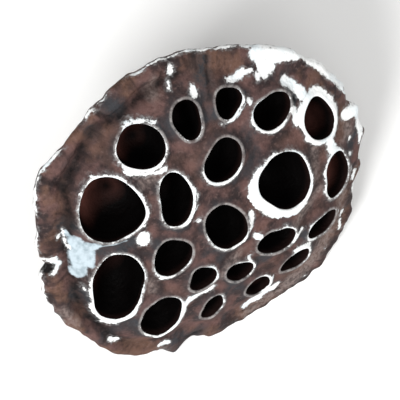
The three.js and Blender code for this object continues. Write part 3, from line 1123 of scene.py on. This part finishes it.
def add_cell(parts, cell, loop, top):
    """Adds the hollow of a cell below its mouth, with painted light, a reddish lit patch, low on the wall of
    one side.
    """
    walls, bottom, depths = cell_walls(cell, top)
    below = np.repeat(-depths, len(loop))
    share = (depths / depths[-1])[:, None]
    aside = round_angles(len(loop)) + math.radians(cell.slope - cell.painted_light_at)
    sideways = (1 - share**3) * np.cos(aside)
    glow = cell.glow * smooth_step(*PAINTED_LIGHT_DEPTH, share) * smooth_step(*PAINTED_LIGHT_TURN, sideways)
    numbers = parts.add(walls.reshape(-1, 3), mouth=below, paint=below - WALL_BARE, glow=glow.ravel())
    numbers = numbers.reshape(len(depths), -1)
    middle = parts.add(bottom[None], mouth=-depths[-1], paint=BARE)
    parts.triangles.append(grid_triangles(np.concatenate([loop[None], numbers]))[:, ::-1])
    parts.triangles.append(fan_triangles(numbers[-1], middle[0])[:, ::-1])


def add_outside(parts, recipe, side, ring):
    """Adds the outside, from the face's outer outline down to the stalk's end."""
    points = side.points[1:].reshape(-1, 3)
    depth, past_crest, ridge = (values[1:].ravel() for values in (side.depth, side.past_crest, side.ridge))
    flat = points[:, :2]
    cup = smooth_step(*CUP_BEGINS, depth)
    on_face = paint_on_face(flat, *nearest_mouth(flat)) - CUP_BARE * cup
    on_side = paint_on_side(points, depth, past_crest, ridge)
    numbers = parts.add(
        points,
        mouth=FAR_FROM_MOUTH,
        paint=np.maximum(on_face, on_side) + recipe.paint_spread,
        slate=slate_on_face(flat) * (1 - cup),
        dust=dust_on_face(flat) * (1 - cup),
        furrow=furrow_shade_on_face(flat) * (1 - cup),
        margin=1.0,
        cup=cup,
        ridge=ridge,
        stalk=smooth_step(*STALK_BEGINS, depth),
        # how deep in an air channel a point lies, where shade is painted
        hole=channel_share(points, depth),
    ).reshape(-1, recipe.columns)
    end = np.array([[0, 0, -STALK_END + channel_depth(0.0, 0.0)]])
    middle = parts.add(end, mouth=FAR_FROM_MOUTH, paint=BARE, cup=1.0, stalk=1.0, hole=1.0)
    parts.triangles.append(grid_triangles(np.concatenate([ring[None], numbers])))
    parts.triangles.append(fan_triangles(numbers[-1], middle[0]))


def pod_mesh(recipe):
    """The whole skin of the pod as one closed mesh: face, cell walls and outside share their outlines."""
    parts = SkinParts()
    side = side_skin(recipe)
    face, loops = add_face(parts, recipe, side.points[0])
    for cell, loop in zip(CELLS, loops[1:]):
        add_cell(parts, cell, loop, face[loop])
    add_outside(parts, recipe, side, loops[0])
    return parts.mesh(SKIN_NAME)


class Graph:
    """Adds nodes to a material's tree and links them."""

    def __init__(self, material):
        material.use_nodes = True
        self.tree = material.node_tree
        self.tree.nodes.clear()

    def add(self, kind, inputs, **options):
        """Makes a node with the given options, and feeds its inputs with values or other nodes' outputs."""
        node = self.tree.nodes.new(kind)
        for name, value in options.items():
            setattr(node, name, value)
        for key, value in inputs.items():
            if isinstance(value, bpy.types.NodeSocket):
                self.tree.links.new(value, node.inputs[key])
            else:
                node.inputs[key].default_value = value
        return node

    def value(self, name):
        """A number stored at the mesh's points."""
        return self.add("ShaderNodeAttribute", {}, attribute_name=name).outputs["Fac"]

    def vector(self, name):
        """A place stored at the mesh's points."""
        return self.add("ShaderNodeAttribute", {}, attribute_name=name).outputs["Vector"]

    def calc(self, operation, first, second=0.0, third=0.0):
        """What an operation makes of up to three numbers."""
        inputs = {0: first, 1: second, 2: third}
        return self.add("ShaderNodeMath", inputs, operation=operation).outputs[0]

    def plus(self, first, second):
        """Two numbers added."""
        return self.calc("ADD", first, second)

    def times(self, first, second):
        """Two numbers multiplied."""
        return self.calc("MULTIPLY", first, second)

    def stretch(self, value, factor, shift):
        """A number multiplied by a factor, and then shifted."""
        return self.calc("MULTIPLY_ADD", value, factor, shift)

    def ramp(self, value, low, high, start=0.0, stop=1.0):
        """Rises smoothly from start to stop as the value goes from low to high."""
        inputs = {"Value": value, "From Min": low, "From Max": high, "To Min": start, "To Max": stop}
        return self.add("ShaderNodeMapRange", inputs, interpolation_type="SMOOTHSTEP").outputs[0]

    def mix(self, share, first, second):
        """One colour going over into another."""
        inputs = {0: share, 6: opaque(first), 7: opaque(second)}
        return self.add("ShaderNodeMix", inputs, data_type="RGBA").outputs[2]

    def noise(self, place, scale, detail, roughness):
        """Cloudy noise between nought and one."""
        inputs = {"Vector": place, "Scale": scale, "Detail": detail, "Roughness": roughness}
        return self.add("ShaderNodeTexNoise", inputs).outputs["Fac"]

    def finish(self, inputs):
        """Gives the material a surface with the given inputs."""
        shader = self.add("ShaderNodeBsdfPrincipled", inputs)
        self.add("ShaderNodeOutputMaterial", {"Surface": shader.outputs[0]})


def opaque(colour):
    """Three numbers of a colour with a fourth for full cover, or a node's output as it is."""
    return colour if isinstance(colour, bpy.types.NodeSocket) else (*colour, 1)


class Clouds(NamedTuple):
    """Noise that parts of the skin's material share, from broad to fine, and streaks along the spokes."""

    broad: bpy.types.NodeSocket
    patches: bpy.types.NodeSocket
    blots: bpy.types.NodeSocket
    grain: bpy.types.NodeSocket
    streaks: bpy.types.NodeSocket
    fine_streaks: bpy.types.NodeSocket


# Noise of the skin's material: scale, detail and roughness
BROAD = (0.08, 3, 0.55)
PATCHES = (0.17, 4, 0.5)
BLOTS = (0.38, 4, 0.6)
GRAIN = (0.9, 5, 0.65)
STREAKS = (9.0, 5, 0.6)
FINE_STREAKS = (24.0, 4, 0.6)
RAGGED = (1.1, 5, 0.65)
WRINKLED = (0.55, 5, 0.6)

# How it is stretched where it makes an outline ragged: factor and shift
PAINT_RAGGED = (1.9, -1.0)
PAINT_BLOTS = (1.1, -0.55)
PAINT_STREAKS = (3.4, -1.7)
WASH_BLOTS = (0.5, -0.25)
WASH_GRAIN = (0.3, -0.15)

# Ramps of the material: low and high, and what it goes from and to where that isn't nought and one
PATCH_RAMP = (0.37, 0.63)
TAN_RAMP = (0.48, 0.6)
TAN_MARGIN_RAMP = (0.0, 1.0, 0.2, 0.85)
FLECK_RAMP = (0.52, 0.7, 0, 0.4)
SPECK_RAMP = (0.46, 0.3, 0, 0.45)
# Distances from a mouth over which slate grey painted shade falls round the foot of the lip
LIP_FOOT_SHADE_RAMP = (2.6, 0.8, 0, 0.4)
SLATE_RAMP = (0.44, 0.34, 0, 0.6)
SLATE_BLOT_RAMP = (0.35, 0.6, 1.2, 0.6)
SLATE_MOST = 0.95
LINE_RAMP = (0.48, 0.34, 0, 0.7)
DUST_RAMP = (0.36, 0.62, 0.25, 1.0)
FURROW_SHADE_RAMP = (0.3, 0.65, 1.0, 0.6)
CUP_WARM_RAMP = (0.4, 0.6)
CUP_STREAK_RAMP = (0.38, 0.62)
CUP_LINE_RAMP = (0.5, 0.36, 0, 0.6)
# Painted shade in the cup's creases, low between the ridges
CUP_CREASE_SHADE_RAMP = (0.6, 0.12, 0, 0.85)
# Depths inside a cell over which its painted shade deepens
CELL_SHADE_RAMP = (-0.4, -3.0)
PAINTED_LIGHT_RAMP = (0.3, 0.6, 0.6, 1.0)
WORN_AT = 0.2  # distance from the mouth at which the lip is most worn
WORN_RAMP = (0.8, 0.2)
WORN_GRAIN_RAMP = (0.35, 0.6, 0.35, 1.0)
WORN_BLOT_RAMP = (0.38, 0.6, 0.5, 1.0)
FILM_RAMP = (-1.0, 0.0, 0, 0.7)
FILM_GRAIN_RAMP = (0.4, 0.62)
WASH_RAMP = (0.38, 0.64, 0, 0.95)
WASH_THICK_RAMP = (0.34, 0.6)
WASH_LEVEL_RAMP = (0.4, 0.8, 1.0, 0.35)
MOUTH_RAMP = (-0.05, -0.45)
PAINT_RAMP = (-0.1, 0.14)
PAINT_THICK_RAMP = (0.05, 0.6, 0.75, 1.0)
PAINT_COOL_RAMP = (0.4, 0.7)
ROUGHNESS_RAMP = (0.3, 0.7, 0.55, 0.8)

# Fine relief of the material, as shares of the bump's depth
GRAIN_RELIEF = 0.35
WRINKLE_RELIEF = 0.7
CUP_RELIEF = 0.9
PAINT_RELIEF = 0.12
BUMP_STRENGTH = 0.8
BUMP_DEPTH = 0.8 * MM
SPECULAR = 0.05

# Colours that go with those of the settings
CUP_DARK_WARM = (0.062, 0.034, 0.024)
CUP_LIGHT_COOL = (0.11, 0.066, 0.058)
CUP_LINE = (0.03, 0.02, 0.018)
STALK_DARK = (0.12, 0.07, 0.042)
# Painted shade just inside a cell's mouth
CELL_MOUTH_SHADE = (0.01, 0.0045, 0.004)
WORN_LIP = (0.3, 0.28, 0.27)
PAINT_FILM = (0.22, 0.22, 0.22)
PAINT_COOL = (0.74, 0.8, 0.82)
WASH_THIN = (0.27, 0.33, 0.365)


def face_colour(graph, clouds, settings):
    """Mottled brown of the face, with tan and slate areas, specks and dark lines near the edge, painted shade
    round the foot of the lips, and painted shade in the furrow, the creases and the nick.
    """
    margin = graph.value("margin")
    colour = graph.mix(graph.ramp(clouds.patches, *PATCH_RAMP), settings.skin_dark, settings.skin_light)
    tan = graph.times(graph.ramp(clouds.broad, *TAN_RAMP), graph.ramp(margin, *TAN_MARGIN_RAMP))
    colour = graph.mix(tan, colour, settings.skin_tan)
    colour = graph.mix(graph.ramp(clouds.grain, *FLECK_RAMP), colour, settings.skin_fleck)
    colour = graph.mix(graph.ramp(clouds.grain, *SPECK_RAMP), colour, settings.skin_lines_and_crease_shade)
    slate = graph.plus(graph.value("slate"), graph.ramp(clouds.broad, *SLATE_RAMP))
    # Painted shade, slate grey, round the foot of each lip
    slate = graph.plus(slate, graph.ramp(graph.value("mouth"), *LIP_FOOT_SHADE_RAMP))
    slate = graph.times(slate, graph.ramp(clouds.blots, *SLATE_BLOT_RAMP))
    colour = graph.mix(graph.calc("MINIMUM", slate, SLATE_MOST), colour, settings.skin_slate_and_shade)
    lines = graph.times(graph.ramp(clouds.streaks, *LINE_RAMP), margin)
    colour = graph.mix(lines, colour, settings.skin_lines_and_crease_shade)
    dust = graph.times(graph.value("dust"), graph.ramp(clouds.grain, *DUST_RAMP))
    colour = graph.mix(dust, colour, settings.skin_dust)
    # Painted shade in the furrow, the creases and the nick
    furrow = graph.times(graph.value("furrow"), graph.ramp(clouds.blots, *FURROW_SHADE_RAMP))
    return graph.mix(furrow, colour, settings.furrow)


def cup_colour(graph, clouds, settings):
    """Streaked brown of the cup, from purplish to orange, with painted shade in the creases and in the air
    channels, and the tan stalk.
    """
    warm = graph.ramp(clouds.broad, *CUP_WARM_RAMP)
    dark = graph.mix(warm, settings.cup_dark, CUP_DARK_WARM)
    light = graph.mix(warm, CUP_LIGHT_COOL, settings.cup_light)
    colour = graph.mix(graph.ramp(clouds.streaks, *CUP_STREAK_RAMP), dark, light)
    colour = graph.mix(graph.ramp(clouds.fine_streaks, *CUP_LINE_RAMP), colour, CUP_LINE)
    # Painted shade in the cup's creases
    colour = graph.mix(graph.ramp(graph.value("ridge"), *CUP_CREASE_SHADE_RAMP), colour, settings.skin_lines_and_crease_shade)
    stalk = graph.mix(clouds.streaks, STALK_DARK, settings.stalk)
    colour = graph.mix(graph.value("stalk"), colour, stalk)
    # Painted shade in the air channels of the stalk's end
    return graph.mix(graph.value("hole"), colour, settings.furrow)


def cell_shade_colour(graph, clouds, settings):
    """Painted shade inside the cells, dark at the mouth and nearly black deeper down, with painted light,
    reddish, low on the walls of one side.
    """
    depth = graph.ramp(graph.value("mouth"), *CELL_SHADE_RAMP)
    colour = graph.mix(depth, CELL_MOUTH_SHADE, settings.deep_cell_shade)
    # painted light: a reddish lit patch low on the walls of one side
    glow = graph.times(graph.value("glow"), graph.ramp(clouds.patches, *PAINTED_LIGHT_RAMP))
    return graph.mix(glow, colour, settings.glow)


def worn_colour(graph, clouds, skin):
    """Skin that is worn pale on the lips."""
    near_lip = graph.ramp(graph.calc("ABSOLUTE", graph.plus(graph.value("mouth"), -WORN_AT)), *WORN_RAMP)
    worn = graph.ramp(clouds.grain, *WORN_GRAIN_RAMP)
    worn = graph.times(worn, graph.ramp(clouds.blots, *WORN_BLOT_RAMP))
    return graph.mix(graph.times(near_lip, worn), skin, WORN_LIP)


def washed_colour(graph, clouds, settings, skin):
    """Skin with thin bluish paint on it."""
    cover = graph.plus(graph.value("wash"), graph.stretch(clouds.blots, *WASH_BLOTS))
    cover = graph.plus(cover, graph.stretch(clouds.grain, *WASH_GRAIN))
    wash = graph.mix(graph.ramp(clouds.blots, *WASH_THICK_RAMP), WASH_THIN, settings.wash)
    return graph.mix(graph.ramp(cover, *WASH_RAMP), skin, wash)


def paint_field(graph, clouds, grown):
    """How deep in white paint a place lies, in millimetres, with a ragged outline and blots."""
    ragged = graph.noise(grown, *RAGGED)
    field = graph.plus(graph.value("paint"), graph.stretch(ragged, *PAINT_RAGGED))
    field = graph.plus(field, graph.stretch(clouds.blots, *PAINT_BLOTS))
    brushed = graph.stretch(clouds.fine_streaks, *PAINT_STREAKS)
    return graph.plus(field, graph.times(brushed, graph.value("cup")))


def fine_relief(graph, clouds, grown, paint):
    """Bumps of the skin's grain and wrinkles, of the cup's streaks, and of the paint's thickness."""
    wrinkles = graph.times(graph.noise(grown, *WRINKLED), WRINKLE_RELIEF)
    height = graph.stretch(clouds.grain, GRAIN_RELIEF, wrinkles)
    height = graph.plus(height, graph.times(clouds.fine_streaks, graph.times(graph.value("cup"), CUP_RELIEF)))
    height = graph.times(height, graph.ramp(graph.value("wash"), *WASH_LEVEL_RAMP))
    height = graph.plus(height, graph.times(paint, PAINT_RELIEF))
    inputs = {"Strength": BUMP_STRENGTH, "Distance": BUMP_DEPTH, "Height": height}
    return graph.add("ShaderNodeBump", inputs).outputs[0]


def skin_material(settings):
    """Dry brown skin, dark cells, browner cup and stalk, and brushed white paint."""
    material = bpy.data.materials.new(SLOT_NAME)
    graph = Graph(material)
    grown, spokes = graph.vector("grown"), graph.vector("spokes")
    clouds = Clouds(
        broad=graph.noise(grown, *BROAD),
        patches=graph.noise(grown, *PATCHES),
        blots=graph.noise(grown, *BLOTS),
        grain=graph.noise(grown, *GRAIN),
        streaks=graph.noise(spokes, *STREAKS),
        fine_streaks=graph.noise(spokes, *FINE_STREAKS),
    )
    face = face_colour(graph, clouds, settings)
    skin = graph.mix(graph.value("cup"), face, cup_colour(graph, clouds, settings))
    skin = worn_colour(graph, clouds, skin)
    field = paint_field(graph, clouds, grown)
    film = graph.times(graph.ramp(field, *FILM_RAMP), graph.ramp(clouds.grain, *FILM_GRAIN_RAMP))
    skin = graph.mix(film, skin, PAINT_FILM)
    skin = washed_colour(graph, clouds, settings, skin)
    # Painted shade inside the cells, deepening with depth
    inside = graph.ramp(graph.value("mouth"), *MOUTH_RAMP)
    skin = graph.mix(inside, skin, cell_shade_colour(graph, clouds, settings))

    paint = graph.ramp(field, *PAINT_RAMP)
    white = graph.mix(graph.ramp(clouds.patches, *PAINT_COOL_RAMP), settings.paint, PAINT_COOL)
    cover = graph.times(paint, graph.ramp(field, *PAINT_THICK_RAMP))
    surface = {
        "Base Color": graph.mix(cover, skin, white),
        "Roughness": graph.ramp(clouds.patches, *ROUGHNESS_RAMP),
        "Normal": fine_relief(graph, clouds, grown, paint),
        "Specular IOR Level": SPECULAR,
    }
    graph.finish(surface)
    return material


def plain_material(name, colour, roughness):
    """One even colour."""
    material = bpy.data.materials.new(name)
    Graph(material).finish({"Base Color": opaque(colour), "Roughness": roughness})
    return material


def link(thing):
    """Puts an object in the scene."""
    bpy.context.scene.collection.objects.link(thing)
    return thing


def soft_light(name, place, size, power):
    """A square soft light at a place, turned to the pod."""
    data = bpy.data.lights.new(name, "AREA")
    data.shape = "SQUARE"
    data.size = size
    data.energy = power
    light = link(bpy.data.objects.new(name, data))
    light.location = place
    light.rotation_euler = (Vector(LIGHT_AIM) - Vector(place)).to_track_quat("-Z", "Y").to_euler()
    light.visible_camera = False


def length_property(name, description, millimetres):
    """A length that the panel shows, which Blender keeps in metres."""
    return bpy.props.FloatProperty(
        name=name, description=description, default=millimetres * MM, unit="LENGTH", precision=5
    )


def colour_property(name, description, default):
    """A colour that the panel shows."""
    return bpy.props.FloatVectorProperty(
        name=name, description=description, default=default, subtype="COLOR", size=3, min=0, max=1
    )


def power_property(name, description, default):
    """A light's power that the panel shows."""
    return bpy.props.FloatProperty(name=name, description=description, default=default, unit="POWER")


class LotusPodSettings(bpy.types.PropertyGroup):
    """How finely the pod's skin is made, the sizes of what stands on it, and its colours."""

    spacing: length_property("Spacing", "Distance between points on the face", 0.55)
    rows: bpy.props.IntProperty(
        name="Rows", description="Rows from the edge down to the stalk's end", default=72, min=24
    )
    columns: bpy.props.IntProperty(name="Columns", description="Steps round the pod", default=480, min=96)
    lip_height: length_property("Lip Height", "How far the lips round the cells stand up", 0.9)
    furrow_depth: length_property("Furrow Depth", "Depth of the furrow inside the edge", 1.2)
    paint_spread: length_property("Paint Spread", "How much wider the paint lies than it was brushed", 0.0)
    skin_dark: colour_property("Dark Skin", "Dark patches of the face", (0.031, 0.022, 0.022))
    skin_light: colour_property("Light Skin", "Light patches of the face", (0.112, 0.063, 0.057))
    skin_tan: colour_property("Tan Skin", "Tan areas near the edge", (0.118, 0.065, 0.047))
    # Slate grey places of the face, and painted shade round the foot of the lips
    skin_slate_and_shade: colour_property("Slate Skin", "Weathered areas of the face", (0.036, 0.037, 0.041))
    skin_dust: colour_property("Dust", "Pale dusty areas of the face", (0.2, 0.157, 0.144))
    skin_fleck: colour_property("Flecks", "Light flecks of the face", (0.17, 0.11, 0.1))
    # Dark specks and lines of the face, and painted shade in the cup's creases
    skin_lines_and_crease_shade: colour_property("Creases", "Lines of the face, creases of the cup", (0.015, 0.0105, 0.0105))
    # Colour of the painted shade in the furrow, creases, nick and air channels
    furrow: colour_property("Furrow", "Bottom of the furrow and of the air channels", (0.006, 0.005, 0.005))
    # Colour of the painted shade deep in the cells
    deep_cell_shade: colour_property("Lining", "Deep walls of the cells", (0.001, 0.0006, 0.0006))
    # Colour of the painted light on the cells' walls
    glow: colour_property("Glow", "Cell walls that catch light", (0.24, 0.088, 0.07))
    cup_dark: colour_property("Dark Cup", "Darkest streaks of the cup", (0.04, 0.026, 0.026))
    cup_light: colour_property("Light Cup", "Lightest streaks of the cup", (0.2, 0.1, 0.052))
    stalk: colour_property("Stalk", "Lightest streaks of the stalk", (0.3, 0.18, 0.1))
    paint: colour_property("Paint", "Brushed paint on the lips and the edge", (0.86, 0.87, 0.86))
    wash: colour_property("Wash", "Thin paint between two cells", (0.43, 0.505, 0.55))

    def recipe(self):
        """The fineness and sizes, with lengths in millimetres."""
        sizes = (self.lip_height / MM, self.furrow_depth / MM, self.paint_spread / MM)
        return Recipe(self.spacing / MM, self.rows, self.columns, *sizes)


class LotusStageSettings(bpy.types.PropertyGroup):
    """How the pod is lit and seen."""

    key_power: power_property("Key Power", "Power of the main soft light", 13.0)
    fill_power: power_property("Fill Power", "Power of the soft light above", 7.0)
    ambient: bpy.props.FloatProperty(
        name="Ambient", description="Strength of the even light around", default=0.45
    )
    lens: bpy.props.FloatProperty(
        name="Lens", description="Focal length of the camera", default=LENS, unit="CAMERA"
    )
    floor: colour_property("Floor", "Colour of the floor", (0.93, 0.93, 0.92))


class LOTUS_OT_build_pod(bpy.types.Operator):
    """Build the pod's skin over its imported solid"""

    bl_idname = "lotus.build_pod"
    bl_label = "Build Pod"

    def execute(self, context):
        settings = context.scene.lotus_pod
        pod = link(bpy.data.objects.new(SKIN_NAME, pod_mesh(settings.recipe())))
        pod.data.materials.append(skin_material(settings))
        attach(pod, "root")
        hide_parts(NODE)
        return {"FINISHED"}


class LOTUS_OT_build_stage(bpy.types.Operator):
    """Build the floor, the lights and the camera"""

    bl_idname = "lotus.build_stage"
    bl_label = "Build Stage"

    def execute(self, context):
        settings = context.scene.lotus_stage
        self.build_floor(settings)
        self.build_lights(context.scene, settings)
        self.build_camera(context.scene, settings)
        return {"FINISHED"}

    def build_floor(self, settings):
        """A wide pale floor under the pod."""
        signs = ((-1, -1), (1, -1), (1, 1), (-1, 1))
        mesh = bpy.data.meshes.new("floor")
        mesh.from_pydata([(FLOOR_REACH * x, FLOOR_REACH * y, 0) for x, y in signs], [], [(0, 1, 2, 3)])
        mesh.materials.append(plain_material("floor", settings.floor, FLOOR_ROUGHNESS))
        link(bpy.data.objects.new("floor", mesh))

    def build_lights(self, scene, settings):
        """A soft light on the left that brings out the relief, a large one above, and even light around."""
        soft_light("key", KEY_PLACE, KEY_SIZE, settings.key_power)
        soft_light("fill", FILL_PLACE, FILL_SIZE, settings.fill_power)
        world = bpy.data.worlds.new("studio")
        world.use_nodes = True
        background = world.node_tree.nodes["Background"]
        background.inputs["Color"].default_value = (1, 1, 1, 1)
        background.inputs["Strength"].default_value = settings.ambient
        scene.world = world
        scene.view_settings.view_transform = "Standard"

    def build_camera(self, scene, settings):
        """A long lens at the angle of the photograph, with the pod filling the picture."""
        azimuth, elevation = CAMERA_AZIMUTH, CAMERA_ELEVATION
        level = math.cos(elevation)
        back = Vector((math.sin(azimuth) * level, -math.cos(azimuth) * level, math.sin(elevation)))
        right = Vector((math.cos(azimuth), math.sin(azimuth), 0))
        up = back.cross(right)
        target = Vector(LYING_CENTRE) + VIEW_SHIFT_RIGHT * right + VIEW_SHIFT_UP * up
        distance = VIEW_WIDTH * settings.lens / SENSOR
        data = bpy.data.cameras.new("camera")
        data.lens = settings.lens
        data.sensor_width = SENSOR
        data.dof.use_dof = False
        data.clip_start, data.clip_end = CAMERA_CLIP
        camera = link(bpy.data.objects.new("camera", data))
        camera.location = (target + back * distance) * MM
        camera.rotation_mode = "QUATERNION"
        camera.rotation_quaternion = (-back).to_track_quat("-Z", "Y")
        scene.camera = camera


class LOTUS_PT_panel(bpy.types.Panel):
    """Settings of the pod and its stage"""

    bl_idname = "LOTUS_PT_panel"
    bl_label = "Lotus Pod"
    bl_space_type = "VIEW_3D"
    bl_region_type = "UI"
    bl_category = "Lotus Pod"

    def draw(self, context):
        for settings, operator in (
            (context.scene.lotus_pod, LOTUS_OT_build_pod),
            (context.scene.lotus_stage, LOTUS_OT_build_stage),
        ):
            for name in settings.__annotations__:
                self.layout.prop(settings, name)
            self.layout.operator(operator.bl_idname)


CLASSES = (LotusPodSettings, LotusStageSettings, LOTUS_OT_build_pod, LOTUS_OT_build_stage, LOTUS_PT_panel)


def register():
    """Adds the classes and the settings to Blender."""
    for cls in CLASSES:
        bpy.utils.register_class(cls)
    bpy.types.Scene.lotus_pod = bpy.props.PointerProperty(type=LotusPodSettings)
    bpy.types.Scene.lotus_stage = bpy.props.PointerProperty(type=LotusStageSettings)


def unregister():
    """Takes the settings and the classes out again."""
    del bpy.types.Scene.lotus_stage
    del bpy.types.Scene.lotus_pod
    for cls in reversed(CLASSES):
        bpy.utils.unregister_class(cls)


def main():
    """Builds the pod and its stage."""
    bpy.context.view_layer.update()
    register()
    bpy.ops.lotus.build_pod()
    bpy.ops.lotus.build_stage()
    bpy.context.view_layer.update()


if __name__ == "__main__":
    main()
